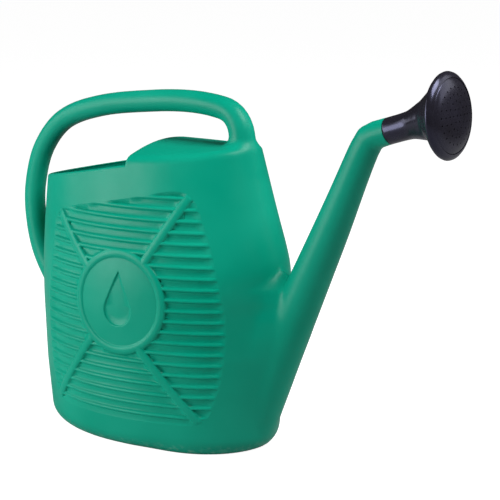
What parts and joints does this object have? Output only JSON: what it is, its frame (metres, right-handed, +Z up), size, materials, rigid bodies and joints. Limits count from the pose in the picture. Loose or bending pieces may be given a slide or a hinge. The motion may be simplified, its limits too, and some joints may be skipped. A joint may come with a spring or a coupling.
{
  "type": "watering can",
  "caption": "Large oval plastic watering can with a half-covered top, looped tube handle, long forward spout and a push-on sprinkler rose.",
  "frame": {"origin": "centre of the flat base, on the floor", "axes": "+X towards the spout and rose, +Z up, XZ is the mirror plane"},
  "size_m": [0.6147, 0.2176, 0.4562],
  "materials": {
    "can_green": "satin moulded polyethylene",
    "rose_black": "glossy injection-moulded plastic",
    "face_black": "glossy injection-moulded plastic"
  },
  "bodies": {
    "can": {"can_body": "can_green"},
    "rose": {"rose_body": "rose_black"},
    "face_plate": {"rose_face": "face_black"}
  },
  "joints": [
    {"name": "rose_pull_off", "type": "slide", "parent": "can", "child": "rose", "axis": [0.9511, 0, 0.309], "range_m": [0, 0.06]},
    {"name": "face_pull_off", "type": "slide", "parent": "rose", "child": "face_plate", "axis": [0.9962, 0, 0.0872], "range_m": [0, 0.05]}
  ]
}
